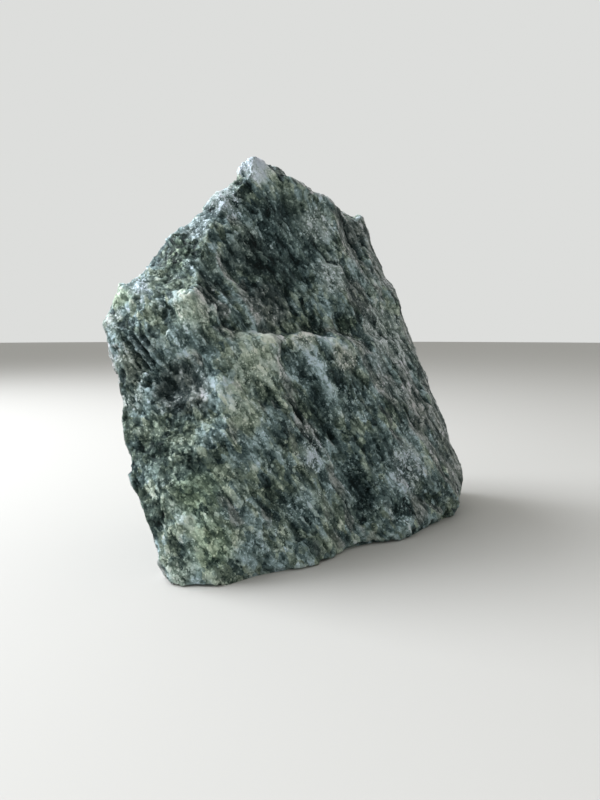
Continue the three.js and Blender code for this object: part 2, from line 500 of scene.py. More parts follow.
VEINS = (
    # a painted glint: a pale spot on the ledge's lip
    Vein(((-26, -42, 102), (-22, -45.5, 98), (-18.5, -49, 93.5)), 2.2, 0.60),
    Vein(((-21, -46, 94), (-13, -38, 95), (-5, -34, 96), (5, -31, 95)), 1.4, 0.20),
    Vein(((7, -29, 95), (12, -26, 92), (18, -23, 92)), 1.5, 0.26),
    Vein(((8, -30, 87), (16, -26, 81), (23, -20, 76)), 3.0, 0.12),
    Vein(((-17, -46, 89), (-14, -42, 84), (-9, -39, 76)), 1.6, 0.45),
    Vein(((-4, -35, 93), (1, -34, 86), (6, -33, 79), (11, -31, 68)), 1.5, 0.36),
    Vein(((-10, -37, 92), (-4, -36, 81), (3, -34, 68)), 3.0, -0.14),
    Vein(((5, -32, 90), (10, -30, 79), (17, -27, 67)), 2.4, -0.12),
    Vein(((-42, -62, 79), (-36, -62, 75), (-31, -60, 68)), 1.7, 0.38),
    Vein(((-27, -63, 43), (-22, -62, 46), (-20, -59, 51)), 1.4, 0.28),
    Vein(((-37, -67, 58), (-29, -65, 50)), 2.4, -0.16),
    Vein(((-10, -47, 65), (-5, -44, 59), (0, -41, 52)), 1.2, 0.24),
    Vein(((-6, -40, 68), (6, -34, 53), (19, -32, 39), (34, -29, 13)), 4.0, -0.14),
    Vein(((-6, -48, 49), (1, -44, 44), (7, -39, 38)), 2.4, 0.18),
    Vein(((22, -25, 62), (26, -23, 56)), 2.2, 0.40),
    Vein(((40, -18, 43), (48, -12, 34)), 2.6, 0.34),
    Vein(((33, -24, 35), (41, -21, 26), (48, -16, 19)), 2.6, 0.30),
    Vein(((42, -24, 11), (50, -19, 4)), 2.8, 0.44),
    Vein(((10, -2, 153), (15, -1, 142), (23, 4, 129), (37, 12, 108)), 1.8, 0.23),
    Vein(((14, -4, 134), (24, 2, 119), (34, 10, 111), (46, 10, 92)), 1.6, -0.10),
    Vein(((22, -5, 110), (40, 4, 90), (58, 14, 68)), 1.4, 0.18),
    Vein(((16, 6, 158), (20, 14, 150), (27, 17, 138)), 3.0, -0.24),
    Vein(((26, 12, 132), (34, 17, 118), (45, 18, 98)), 1.6, -0.16),
    Vein(((30, 6, 118), (42, 10, 98), (55, 14, 76)), 1.5, 0.22),
    Vein(((30, -8, 86), (44, -2, 66), (58, 3, 46)), 1.6, 0.16),
    Vein(
        ((-60, -54, 111), (-53, -59, 114), (-46, -59, 113), (-41, -55, 108), (-36, -51, 102)), 1.4, 0.20
    ),
    Vein(((-31, -28, 166), (-26, -26, 163)), 3.4, -0.46),
    Vein(((-44, -61, 75), (-44, -61, 70)), 2.2, 0.50),
    Vein(((-52, -58, 92), (-51, -58, 88)), 2.2, 0.40),
    Vein(((-48, -77, 29), (-46, -77, 25)), 2.2, 0.45),
    Vein(((-66, -70, 40), (-62, -72, 33)), 3.0, 0.30),
    Vein(((-25, -68, 28), (-22, -66, 24)), 3.0, 0.25),
)


# ---------------------------------------------------------------- the stone


def ease(shape: bmesh.types.BMesh, verts: Iterable[bmesh.types.BMVert], factor: float) -> None:
    """Moves points of a mesh towards the middle of their neighbours.

    Args:
        shape: The mesh.
        verts: The points to move.
        factor: How far they go, as a share of the way there, negative to move them away.
    """
    bmesh.ops.smooth_vert(
        shape, verts=verts, factor=factor, use_axis_x=True, use_axis_y=True, use_axis_z=True
    )


def turned_back(place: float, low: float, high: float, share: float = 1.3) -> float:
    """A coordinate that passes a limit, turned back inside it so that no flat is left there."""
    return place - share * max(place - high, 0.0) + share * max(low - place, 0.0)


def broken_surface() -> list[Layer]:
    """Lists what is carved into the stone.

    Returns:
        The layers of its broken surface, from the broadest to the finest.
    """
    return [
        Lumps(size=24.0, height=1.0, seed=2.3),
        Lumps(size=9.0, height=0.35, seed=7.9),
        *ledge_and_shelf(),
        *long_streaks(),
        worn_crest(),
        Dent(Vector((30, 25, 150)), reach=6.0, depth=-1.8),
        Dent(Vector((-84, -49, 90)), reach=7.0, depth=-1.3),
        LeafEnds(pitch=6.4, height=1.2, waver=2.6, waver_size=34.0, shown=0.3, seed=4.1),
        LeafEnds(pitch=2.7, height=0.55, waver=1.0, waver_size=18.0, shown=0.4, seed=11.6),
        Streaks(size=Vector((70.0, 7.0, 5.0)), height=1.5, crosswise=0.2, seed=5.5),
        Streaks(size=Vector((40.0, 3.0, 2.6)), height=0.8, crosswise=0.2, seed=8.2),
        Flakes(size=Vector((17.0, 12.0, 8.0)), tilt=1.1, step=0.4, seed=3.3),
        Flakes(size=Vector((7.5, 5.5, 4.0)), tilt=0.55, step=0.3, seed=6.7),
        Flakes(size=Vector((4.2, 3.4, 3.0)), tilt=0.35, step=0.2, seed=9.4),
        Pits(size=7.0, depth=0.4, share=0.08, seed=1.7),
        *torn_shoulder(),
    ]


@dataclass(frozen=True)
class WearAndShade:
    """A measure of how far each point stands proud of its surroundings, for wear on crests and painted
    shade in hollows.

    Attributes:
        name: The attribute that it is written to.
        rounds: Rounds of smoothing that make the surroundings: more of them reach further.
        full: How proud a point is that the attribute holds 1 for, in millimetres.
    """

    name: str
    rounds: int
    full: float


@dataclass
class StoneBlock:
    """The stone: a finely divided copy of its solid with the broken surface carved into it.

    Attributes:
        node: The solid's name.
        slot: Name of a material slot for its finish; not used.
        longest_edge: Longest side of a triangle after dividing, in millimetres.
        divisions: Most times that a side is halved.
        fine_spots: Places that are divided more finely, each with its reach, in millimetres.
        fine_share: Longest side of a triangle there, as a share of the longest elsewhere.
        rounding: Rounds of smoothing that take off the solid's facets.
        rounding_steps: How far a round moves points in, and then out again so that nothing gets thinner.
        sole_gap: Least height of the carved surface above the floor, in millimetres.
        layers: The layers of relief.
        veins: The veins that its finish shows.
        easing: Rounds of smoothing at edges where the carving has folded the surface over.
        easing_step: How far a round moves their points.
        easing_floor: Height from which folds are smoothed, in sole gaps.
        sharpest: The sharpest turn that the surface may make at an edge, in radians.
        wear_and_shade: How proud its points stand, which its finish shows as wear on crests and painted
            shade in hollows.
        draw: Which draw of chance the wavering lines and crooked borders follow: any number but 0.
    """

    node: str = "soapstone"
    slot: str = "stone"
    longest_edge: float = 1.62
    divisions: int = 4
    fine_spots: tuple[tuple[Vector, float], ...] = ((Vector((-71, -56, 92)), 15.0),)
    fine_share: float = 0.55
    rounding: int = 8
    rounding_steps: tuple[float, float] = (0.5, -0.52)
    sole_gap: float = 0.3
    layers: list[Layer] = field(default_factory=broken_surface)
    veins: tuple[Vein, ...] = VEINS
    easing: int = 6
    easing_step: float = 0.5
    easing_floor: float = 1.5
    sharpest: float = math.radians(85.0)
    wear_and_shade: tuple[WearAndShade, ...] = (WearAndShade(RIDGE, rounds=4, full=0.35), WearAndShade(BROW, rounds=26, full=1.3))
    draw: int = 5

    def build(self) -> bpy.types.Object:
        """Makes the stone's mesh.

        Returns:
            The piece, in place of its solid.
        """
        shape = self._merged_copy()
        self._divide(shape)
        self._round_off(shape)
        self._carve(shape)
        self._ease_folds(shape)
        self._note_wear_and_shade(shape)
        bmesh.ops.triangulate(shape, faces=[face for face in shape.faces if len(face.verts) > 3])
        mesh = bpy.data.meshes.new("stone_block")
        shape.to_mesh(mesh)
        shape.free()
        mesh.shade_smooth()
        piece = bpy.data.objects.new("stone_block", mesh)
        bpy.context.scene.collection.objects.link(piece)
        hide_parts(self.node)
        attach(piece, "root")
        return piece

    def _merged_copy(self) -> bmesh.types.BMesh:
        """Copies the solid, merges its corners and makes its flat sole one face.

        Returns:
            The copy.
        """
        shape = bmesh.new()
        shape.from_mesh(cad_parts[self.node].data)
        bmesh.ops.remove_doubles(shape, verts=shape.verts, dist=TOUCHING)
        sole = [face for face in shape.faces if all(self._on_sole(vert) for vert in face.verts)]
        bmesh.ops.dissolve_faces(shape, faces=sole)
        return shape

    def _on_sole(self, vert: bmesh.types.BMVert) -> bool:
        """Whether a point of the mesh lies on the plane that the stone stands on."""
        return vert.co.z < TOUCHING

    def _longest(self, edge: bmesh.types.BMEdge) -> float:
        """How long an edge may stay.

        Args:
            edge: The edge.

        Returns:
            The length in millimetres, which is less in the fine spots than elsewhere.
        """
        middle = (edge.verts[0].co + edge.verts[1].co) / (2.0 * MM)
        fine = any((middle - centre).length < reach for centre, reach in self.fine_spots)
        return self.fine_share * self.longest_edge if fine else self.longest_edge

    def _divide(self, shape: bmesh.types.BMesh) -> None:
        """Halves long edges until the mesh is fine enough, and drops triangles left back to back.

        Args:
            shape: The mesh to divide.
        """
        for _ in range(self.divisions):
            long_edges = [edge for edge in shape.edges if edge.calc_length() > self._longest(edge) * MM]
            bmesh.ops.subdivide_edges(shape, edges=long_edges, cuts=1, use_grid_fill=True)
            many_sided = [
                face
                for face in shape.faces
                if len(face.verts) > 3 and not all(self._on_sole(vert) for vert in face.verts)
            ]
            bmesh.ops.triangulate(shape, faces=many_sided, quad_method="SHORT_EDGE")
        while flaps := self._flaps(shape):
            bmesh.ops.delete(shape, geom=flaps, context="FACES")

    def _flaps(self, shape: bmesh.types.BMesh) -> list[bmesh.types.BMFace]:
        """Finds the faces that lie back to back on the same corners.

        Args:
            shape: The mesh to search.

        Returns:
            Both faces of each such pair.
        """
        alike: dict[frozenset, list[bmesh.types.BMFace]] = {}
        for face in shape.faces:
            alike.setdefault(frozenset(face.verts), []).append(face)
        return [face for pair in alike.values() if len(pair) > 1 for face in pair]

    def _round_off(self, shape: bmesh.types.BMesh) -> None:
        """Smooths the facets of the solid without making it thinner, and leaves the sole alone.

        Args:
            shape: The mesh to smooth.
        """
        free = [vert for vert in shape.verts if not self._on_sole(vert)]
        for _ in range(self.rounding):
            for factor in self.rounding_steps:
                ease(shape, free, factor)

    def _carve(self, shape: bmesh.types.BMesh) -> None:
        """Moves every point above the sole by the layers of relief, and keeps it inside the solid's box.

        Args:
            shape: The mesh to carve.
        """
        noise.seed_set(self.draw)  # without it, noise vectors differ from run to run
        shape.normal_update()
        to_grain = GRAIN.turn().inverted()
        across = GRAIN.across.normalized()
        low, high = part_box(self.node)
        leaf = shape.verts.layers.float.new(LEAF)
        vein = shape.verts.layers.float.new(VEIN)
        moved = {}
        for vert in shape.verts:
            if self._on_sole(vert):
                continue
            point = vert.co / MM
            cut = 1.0 - vert.normal.dot(across) ** 2
            vert[leaf] = 1.0 - cut
            spot = Spot(point, vert.normal.copy(), to_grain @ point, cut)
            vert[vein] = sum(line.strength(spot) for line in self.veins)
            rise = sum(layer.rise(spot) for layer in self.layers)
            moved[vert] = vert.co + vert.normal * (rise * MM)
        for vert, place in moved.items():
            vert.co = [turned_back(place[i], low[i], high[i]) for i in range(3)]
            vert.co.z = max(vert.co.z, self.sole_gap * MM)

    def _ease_folds(self, shape: bmesh.types.BMesh) -> None:
        """Smooths the few edges at which the carving has folded the surface over.

        Args:
            shape: The carved mesh.
        """
        for _ in range(self.easing):
            folded = {
                vert
                for edge in shape.edges
                if edge.calc_face_angle(0.0) > self.sharpest
                for vert in edge.verts
                if vert.co.z > self.easing_floor * self.sole_gap * MM
            }
            ease(shape, list(folded), self.easing_step)

    def _note_wear_and_shade(self, shape: bmesh.types.BMesh) -> None:
        """Writes how proud each point stands, close up and at large, for the finish to paint as wear on
        crests and painted shade in hollows.

        Args:
            shape: The carved mesh.
        """
        for wear_and_shade in self.wear_and_shade:
            layer = shape.verts.layers.float.new(wear_and_shade.name)
            softened = shape.copy()
            for _ in range(wear_and_shade.rounds):
                ease(softened, softened.verts, factor=0.5)
            softened.normal_update()
            for vert, soft in zip(shape.verts, softened.verts):
                proud = (vert.co - soft.co).dot(soft.normal) / (wear_and_shade.full * MM)
                vert[layer] = 0.5 + 0.5 * min(max(proud, -1.0), 1.0)
            softened.free()


# ---------------------------------------------------------------- shader sheets


def paint(code: str) -> tuple[float, float, float, float]:
    """A colour for a shader socket.

    Args:
        code: The colour as it looks on a screen, such as "#4a564e".

    Returns:
        Its red, green, blue and alpha as light, each from 0 to 1.
    """
    shares = (int(code[i : i + 2], 16) / 255.0 for i in (1, 3, 5))
    light = (((share + 0.055) / 1.055) ** 2.4 if share > 0.04045 else share / 12.92 for share in shares)
    return (*light, 1.0)


class Signal:
    """A number that varies over a surface: the output socket of a shader node, with arithmetic."""

    def __init__(self, sheet: "Sheet", socket: bpy.types.NodeSocket) -> None:
        """Wraps a socket.

        Args:
            sheet: The sheet that the socket's node is on.
            socket: The output socket.
        """
        self.sheet = sheet
        self.socket = socket

    def __add__(self, other: "Signal | float") -> "Signal":
        """This signal plus another."""
        return self.sheet.math("ADD", self, other)

    def __radd__(self, other: float) -> "Signal":
        """A number plus this signal."""
        return self.sheet.math("ADD", other, self)

    def __sub__(self, other: "Signal | float") -> "Signal":
        """This signal less another."""
        return self.sheet.math("SUBTRACT", self, other)

    def __rsub__(self, other: float) -> "Signal":
        """A number less this signal."""
        return self.sheet.math("SUBTRACT", other, self)

    def __mul__(self, other: "Signal | float") -> "Signal":
        """This signal times another."""
        return self.sheet.math("MULTIPLY", self, other)

    def __rmul__(self, other: float) -> "Signal":
        """A number times this signal."""
        return self.sheet.math("MULTIPLY", other, self)

    def above(self, limit: float) -> "Signal":
        """How far this signal lies above a limit, 0 where it is below."""
        return self.sheet.math("MAXIMUM", self - limit, 0.0)

    def step(self, low: float, high: float) -> "Signal":
        """Rises smoothly from 0 to 1 as this signal goes from one value to another.

        Args:
            low: The value that gives 0, which may be the larger one.
            high: The value that gives 1.

        Returns:
            The step.
        """
        node = self.sheet.add(
            "ShaderNodeMapRange",
            {"interpolation_type": "SMOOTHSTEP", "clamp": True},
            {"Value": self, "From Min": low, "From Max": high},
        )
        return Signal(self.sheet, node.outputs["Result"])


@dataclass(frozen=True)
class Clouds:
    """What a pattern of clouds looks like.

    Attributes:
        size: Size of the largest clouds, in millimetres.
        detail: How many smaller sizes there are.
        roughness: How strong the smaller ones are.
        seed: Which part of the noise this is.
    """

    size: float
    detail: float
    roughness: float
    seed: float


@dataclass(frozen=True)
class Grains:
    """A pattern of grains over a surface.

    Attributes:
        shade: A number from 0 to 1 that is each grain's own.
        kind: Another such number.
        face: Height of the grain's tilted face, in millimetres.
    """

    shade: Signal
    kind: Signal
    face: Signal


class Sheet:
    """The node tree of a material or of the world, emptied and drawn anew."""

    def __init__(self, owner: bpy.types.Material | bpy.types.World) -> None:
        """Starts with no node.

        Args:
            owner: What the tree belongs to.
        """
        owner.use_nodes = True
        self.tree = owner.node_tree
        self.tree.nodes.clear()

    def add(
        self, kind: str, settings: dict[str, object], sockets: dict[str | int, object]
    ) -> bpy.types.Node:
        """Adds a node.

        Args:
            kind: The node's type.
            settings: Its properties, set first. A ramp's stops are pairs of a place and a colour.
            sockets: What each input socket holds or is linked to, by name or number.

        Returns:
            The node.
        """
        node = self.tree.nodes.new(kind)
        for name, value in settings.items():
            if name == "stops":
                self._set_stops(node.color_ramp, value)
            else:
                setattr(node, name, value)
        for key, value in sockets.items():
            source = value.socket if isinstance(value, Signal) else value
            if isinstance(source, bpy.types.NodeSocket):
                self.tree.links.new(source, node.inputs[key])
            else:
                node.inputs[key].default_value = source
        return node

    def _set_stops(self, ramp: bpy.types.ColorRamp, stops: list[tuple[float, tuple]]) -> None:
        """Gives a ramp its stops.

        Args:
            ramp: The ramp, which has two stops to start with.
            stops: Pairs of a place and a colour, in rising order.
        """
        while len(ramp.elements) < len(stops):
            ramp.elements.new(1.0)
        for element, (place, colour) in zip(ramp.elements, stops):
            element.position = place
            element.color = colour

    def math(self, operation: str, first: Signal | float, second: Signal | float) -> Signal:
        """Joins two signals or numbers by a Math node."""
        node = self.add("ShaderNodeMath", {"operation": operation}, {0: first, 1: second})
        return Signal(self, node.outputs["Value"])

    def vector(self, operation: str, first: object, second: object) -> bpy.types.Node:
        """Joins two vectors by a Vector Math node."""
        return self.add("ShaderNodeVectorMath", {"operation": operation}, {0: first, 1: second})

    def attribute(self, name: str) -> Signal:
        """Reads a number that the mesh holds at each point."""
        node = self.add("ShaderNodeAttribute", {"attribute_name": name}, {})
        return Signal(self, node.outputs["Fac"])

    def mix(
        self, under: object, over: object, share: object, blend: str = "MIX"
    ) -> bpy.types.NodeSocket:
        """Lays one colour over another.

        Args:
            under: The colour below.
            over: The colour on top.
            share: How much of it shows.
            blend: How the two are joined.

        Returns:
            The colour's socket.
        """
        settings = {"data_type": "RGBA", "blend_type": blend, "clamp_factor": True}
        node = self.add("ShaderNodeMix", settings, {0: share, 6: under, 7: over})
        return node.outputs[2]

    def clouds(self, place: object, kind: Clouds) -> Signal:
        """Noise from about 0 to 1 with several sizes of cloud.

        Args:
            place: Where on the surface, in millimetres.
            kind: What the clouds look like.

        Returns:
            The noise.
        """
        sockets = {
            "Vector": place,
            "W": kind.seed,
            "Scale": 1.0 / kind.size,
            "Detail": kind.detail,
            "Roughness": kind.roughness,
        }
        node = self.add("ShaderNodeTexNoise", {"noise_dimensions": "4D"}, sockets)
        return Signal(self, node.outputs[0])

    def grains(self, place: object, size: float, seed: float) -> Grains:
        """Grains packed side by side, each with a flat face tilted its own way.

        Args:
            place: Where on the surface, in millimetres.
            size: Size of a grain, in millimetres.
            seed: Which part of the pattern this is.

        Returns:
            The grains.
        """
        sockets = {"Vector": place, "W": seed, "Scale": 1.0 / size}
        node = self.add("ShaderNodeTexVoronoi", {"voronoi_dimensions": "4D"}, sockets)
        own = node.outputs["Color"]
        apart = self.add("ShaderNodeSeparateColor", {}, {"Color": own})
        lean = self.vector("SUBTRACT", own, (0.5, 0.5, 0.5)).outputs["Vector"]
        offset = self.vector("SUBTRACT", place, node.outputs["Position"]).outputs["Vector"]
        face = self.vector("DOT_PRODUCT", lean, offset).outputs["Value"]
        return Grains(Signal(self, apart.outputs[0]), Signal(self, apart.outputs[1]), Signal(self, face))

    def near(
        self, place: object, centre: tuple[float, float, float], reach: float, core: float = 0.35
    ) -> Signal:
        """A soft ball round a point: 1 in its core, a share of its reach, and 0 beyond its reach."""
        apart = self.vector("DISTANCE", place, centre).outputs["Value"]
        return Signal(self, apart).step(reach, core * reach)


# ---------------------------------------------------------------- finishes


class Hue(Enum):
    """The tints of the rock: what each makes of a grey."""

    GREEN = "#ffffff"
    OLIVE = "#fdfeeb"
    TEAL = "#e9f6fe"
    BROWN = "#fff2f4"
    BLUE = "#f2f5ff"
    MOSS = "#f5fedc"
    SAND = "#fff5ea"


@dataclass(frozen=True)
class Patch:
    """A place where the rock's minerals differ, and at a few places painted shade or a painted
    highlight.

    Attributes:
        centre: Its middle, in millimetres.
        reach: How far it goes, in millimetres.
        shade: How much paler it is, or darker if negative.
        talc: How much more talc it holds, up to about 1 where it is well frosted, which shows as more
            painted glints.
        hue: Its tint.
    """

    centre: tuple[float, float, float]
    reach: float
    shade: float
    talc: float
    hue: Hue


PATCHES = (
    # the scoop: dark, partly chlorite and partly painted shade under its overhang, browner and darker at
    # its foot where painted shade fills the crease behind the ledge, pale along its right border
    # partly chlorite, partly painted shade: the scoop under its overhang painted darker
    Patch((-10, -20, 140), 30, -0.20, 0.0, Hue.TEAL),
    Patch((-29, -32, 134), 14, -0.10, 0.0, Hue.GREEN),
    # painted shade in part: the foot of the scoop, in the crease behind the ledge, painted darker
    Patch((-18, -33, 110), 15, -0.23, 0.0, Hue.BROWN),
    Patch((3, -7, 150), 13, 0.34, 0.6, Hue.GREEN),
    Patch((10, -9, 126), 12, 0.14, 0.6, Hue.GREEN),
    # painted shade: the notch at the right end of the ledge painted darker
    Patch((17, -11, 103), 7, -0.20, 0.0, Hue.MOSS),
    # the crown: frosted with talc along its edge and painted paler there as a painted highlight, olive
    # and darker towards the shoulder
    # partly talc, partly a painted highlight: the knob is painted pale even on its facet that faces away
    # from the window
    Patch((-26, -24, 173), 12, 0.72, 1.2, Hue.BLUE),
    # partly talc, partly a painted highlight along the lit edge of the crown
    Patch((-40, -31, 156), 13, 0.16, 1.0, Hue.BLUE),
    Patch((-50, -36, 145), 9, 0.02, 0.6, Hue.BLUE),
    Patch((-56, -43, 132), 13, -0.26, 0.0, Hue.MOSS),
    Patch((-62, -48, 119), 8, 0.05, 0.2, Hue.OLIVE),
    Patch((-45, -46, 126), 10, -0.17, 0.2, Hue.TEAL),
    Patch((-70, -50, 117), 7, 0.10, 1.0, Hue.BLUE),
    Patch((-84, -52, 103), 7, 0.06, 0.6, Hue.GREEN),
    Patch((-79, -50, 113), 8, 0.14, 0.2, Hue.MOSS),
    # the shelf, the torn shoulder and the hollow below them
    Patch((-48, -62, 107), 12, 0.24, 0.1, Hue.OLIVE),
    Patch((-53, -60, 97), 11, 0.02, 0.3, Hue.TEAL),
    Patch((-70, -56, 92), 11, -0.06, 0.1, Hue.BLUE),
    Patch((-74, -57, 82), 9, -0.04, 0.0, Hue.SAND),
    # painted shade: the hollow below the torn shoulder painted darker
    Patch((-53, -58, 76), 15, -0.16, 0.0, Hue.BROWN),
    # the ledge and the front below it: an olive belt, slate leaves and pale clusters
    Patch((-3, -33, 96), 8, -0.04, 0.9, Hue.SAND),
    Patch((-24, -50, 87), 18, 0.19, 0.4, Hue.OLIVE),
    Patch((-28, -58, 66), 13, 0.05, 0.3, Hue.OLIVE),
    Patch((-2, -35, 82), 15, 0.22, 0.5, Hue.TEAL),
    Patch((17, -25, 86), 10, 0.10, 1.2, Hue.SAND),
    Patch((13, -29, 68), 16, 0.08, 0.3, Hue.TEAL),
    Patch((46, -14, 32), 17, 0.0, 1.2, Hue.BLUE),
    # painted shade in part: darker at the right end of the foot, next to the floor
    Patch((44, -22, 10), 10, -0.36, 0.9, Hue.TEAL),
    Patch((2, -43, 45), 12, 0.06, 1.2, Hue.BLUE),
    Patch((-5, -50, 25), 14, 0.16, 0.5, Hue.TEAL),
    Patch((22, -31, 22), 15, -0.12, 0.0, Hue.TEAL),
    # the left of the front: moss green below, darker beside the edge
    Patch((-58, -68, 54), 18, -0.16, 0.1, Hue.OLIVE),
    Patch((-60, -74, 30), 13, -0.12, 0.0, Hue.OLIVE),
    Patch((-44, -74, 36), 15, 0.03, 0.0, Hue.MOSS),
    Patch((-40, -78, 17), 14, 0.12, 0.5, Hue.MOSS),
    Patch((-52, -78, 7), 9, -0.08, 0.3, Hue.OLIVE),
    Patch((-75, -60, 70), 9, 0.10, 0.8, Hue.GREEN),
    # the right side: grey leaves, paler below the shoulder
    Patch((40, 9, 98), 24, 0.17, 0.4, Hue.GREEN),
    Patch((24, 19, 150), 14, -0.10, 0.0, Hue.BROWN),
    Patch((57, 3, 56), 14, 0.06, 0.0, Hue.BROWN),
    Patch((-24, -70, 11), 11, -0.06, 0.0, Hue.TEAL),
    Patch((-62, 35, 80), 74, -0.20, 0.0, Hue.OLIVE),
    Patch((25, 88, 80), 62, -0.14, 0.0, Hue.GREEN),
    Patch((30, -33, 3), 5, 0.14, 0.0, Hue.SAND),
)


@dataclass(frozen=True)
class Rock:
    """The patterns that the stone's finish is mixed from, as they are at each point of it.

    Attributes:
        place: Where the point is, in millimetres.
        drawn: The same place along, sideways of and across the grain, closed up along it.
        leaf: From 0 where the surface cuts across the leaves to 1 where it lies along one.
        vein: How pale the veins leave the point, negative where they darken it.
        crystals: The largest grains.
        grains: The common grains.
        specks: The smallest grains.
        fine: The finest clouds.
        streaks: Clouds drawn out into streaks.
    """

    place: bpy.types.NodeSocket
    drawn: bpy.types.NodeSocket
    leaf: Signal
    vein: Signal
    crystals: Grains
    grains: Grains
    specks: Grains
    fine: Signal
    streaks: Signal


@dataclass(frozen=True)
class SoapstoneFinish:
    """Raw soapstone: dark chlorite and pale talc in clouds, grains and streaks, with glinting flecks
    painted paler as painted glints.

    Attributes:
        crystal_size: Size of a crystal, in millimetres.
        grain_size: Size of a grain, in millimetres.
        speck_size: Size of a speck, in millimetres.
        closed_up: How the grain's directions are scaled, so that crystals and clouds are drawn out.
        streaked: The same for the streaks.
        wide: The widest clouds.
        coarse: The clouds that show most.
        fine: The finest clouds.
        streaks: The clouds that are drawn out into streaks.
        olive: The clouds that are olive among the teal.
        frost: The clouds in which glinting flecks, painted paler as painted glints, lie close together.
        level: Tone of the plain rock, from 0 for the darkest.
        palest: Tone of the palest rock.
        knee: Tone above which the clouds get paler more slowly.
        slack: Share of the tone above the knee that is taken away.
        loose: How far the borders of the patches wander, in millimetres.
        loose_size: Size of their bends, in millimetres.
        patch_tint: How much of a patch's tint shows.
        leaf_tint: How brown the faces of the leaves are.
        shine: Where a grain begins to glint, and where it glints fully.
        tones: The rock's grey at even steps of tone, from the darkest to the palest.
    """

    crystal_size: float = 2.8
    grain_size: float = 1.3
    speck_size: float = 0.65
    closed_up: tuple[float, float, float] = (0.5, 0.9, 1.0)
    streaked: tuple[float, float, float] = (0.06, 0.6, 1.0)
    wide: Clouds = Clouds(size=30.0, detail=1.0, roughness=0.5, seed=1.0)
    coarse: Clouds = Clouds(size=11.0, detail=2.0, roughness=0.7, seed=2.0)
    fine: Clouds = Clouds(size=3.6, detail=3.0, roughness=0.75, seed=4.0)
    streaks: Clouds = Clouds(size=2.4, detail=2.0, roughness=0.6, seed=5.0)
    olive: Clouds = Clouds(size=13.0, detail=3.0, roughness=0.6, seed=7.0)
    frost: Clouds = Clouds(size=6.5, detail=2.0, roughness=0.6, seed=9.0)
    level: float = 0.665
    palest: float = 1.25
    knee: float = 0.85
    slack: float = 0.6
    loose: float = 16.0
    loose_size: float = 14.0
    patch_tint: float = 0.75
    leaf_tint: float = 0.8
    shine: tuple[float, float] = (0.80, 1.12)
    tones: tuple[str, ...] = ("#00100f", "#102423", "#42514f", "#778680", "#bccac6", "#e9f0f2")

    def material(self) -> bpy.types.Material:
        """Builds the finish.

        Returns:
            The material.
        """
        material = bpy.data.materials.new("raw_soapstone")
        sheet = Sheet(material)
        rock = self._rock(sheet)
        body, hue, talc = self._patched(sheet, rock)
        glint = self._glint(sheet, rock, talc)
        tone = self._tone(rock, body, talc, glint)
        last = len(self.tones) - 1
        stops = [(i / last, paint(code)) for i, code in enumerate(self.tones)]
        share = (1.0 / self.palest) * tone
        grey = sheet.add("ShaderNodeValToRGB", {"stops": stops}, {"Fac": share}).outputs["Color"]
        bump = sheet.add(
            "ShaderNodeBump", {}, {"Strength": 1.0, "Distance": MM, "Height": self._height(rock)}
        )
        shader = sheet.add(
            "ShaderNodeBsdfPrincipled",
            {},
            {
                "Base Color": sheet.mix(grey, hue, 1.0, "MULTIPLY"),
                "Roughness": 0.70 - 0.25 * glint - 0.1 * rock.specks.shade,
                "Normal": bump.outputs[0],
                "Specular IOR Level": 0.2,
            },
        )
        sheet.add("ShaderNodeOutputMaterial", {}, {"Surface": shader.outputs[0]})
        return material

    def _rock(self, sheet: Sheet) -> Rock:
        """Lays out the patterns of the rock.

        Args:
            sheet: The finish's sheet.

        Returns:
            The patterns.
        """
        spread = sheet.add("ShaderNodeTexCoord", {}, {}).outputs["Object"]
        place = sheet.vector("MULTIPLY", spread, (1.0 / MM,) * 3).outputs[0]
        turned = sheet.add(
            "ShaderNodeMapping",
            {"vector_type": "TEXTURE"},
            {"Vector": place, "Rotation": GRAIN.turn().to_euler()},
        ).outputs[0]
        drawn = sheet.vector("MULTIPLY", turned, self.closed_up).outputs[0]
        streaked = sheet.vector("MULTIPLY", turned, self.streaked).outputs[0]
        jitter = sheet.add("ShaderNodeTexNoise", {}, {"Vector": place, "Scale": 0.7, "Detail": 1.0})
        rough_edged = sheet.vector("ADD", drawn, jitter.outputs["Color"]).outputs[0]
        return Rock(
            place=place,
            drawn=drawn,
            leaf=sheet.attribute(LEAF).step(0.28, 0.55),
            vein=sheet.attribute(VEIN),
            crystals=sheet.grains(rough_edged, self.crystal_size, seed=21.0),
            grains=sheet.grains(rough_edged, self.grain_size, seed=3.0),
            specks=sheet.grains(place, self.speck_size, seed=12.0),
            fine=sheet.clouds(drawn, self.fine),
            streaks=sheet.clouds(streaked, self.streaks),
        )

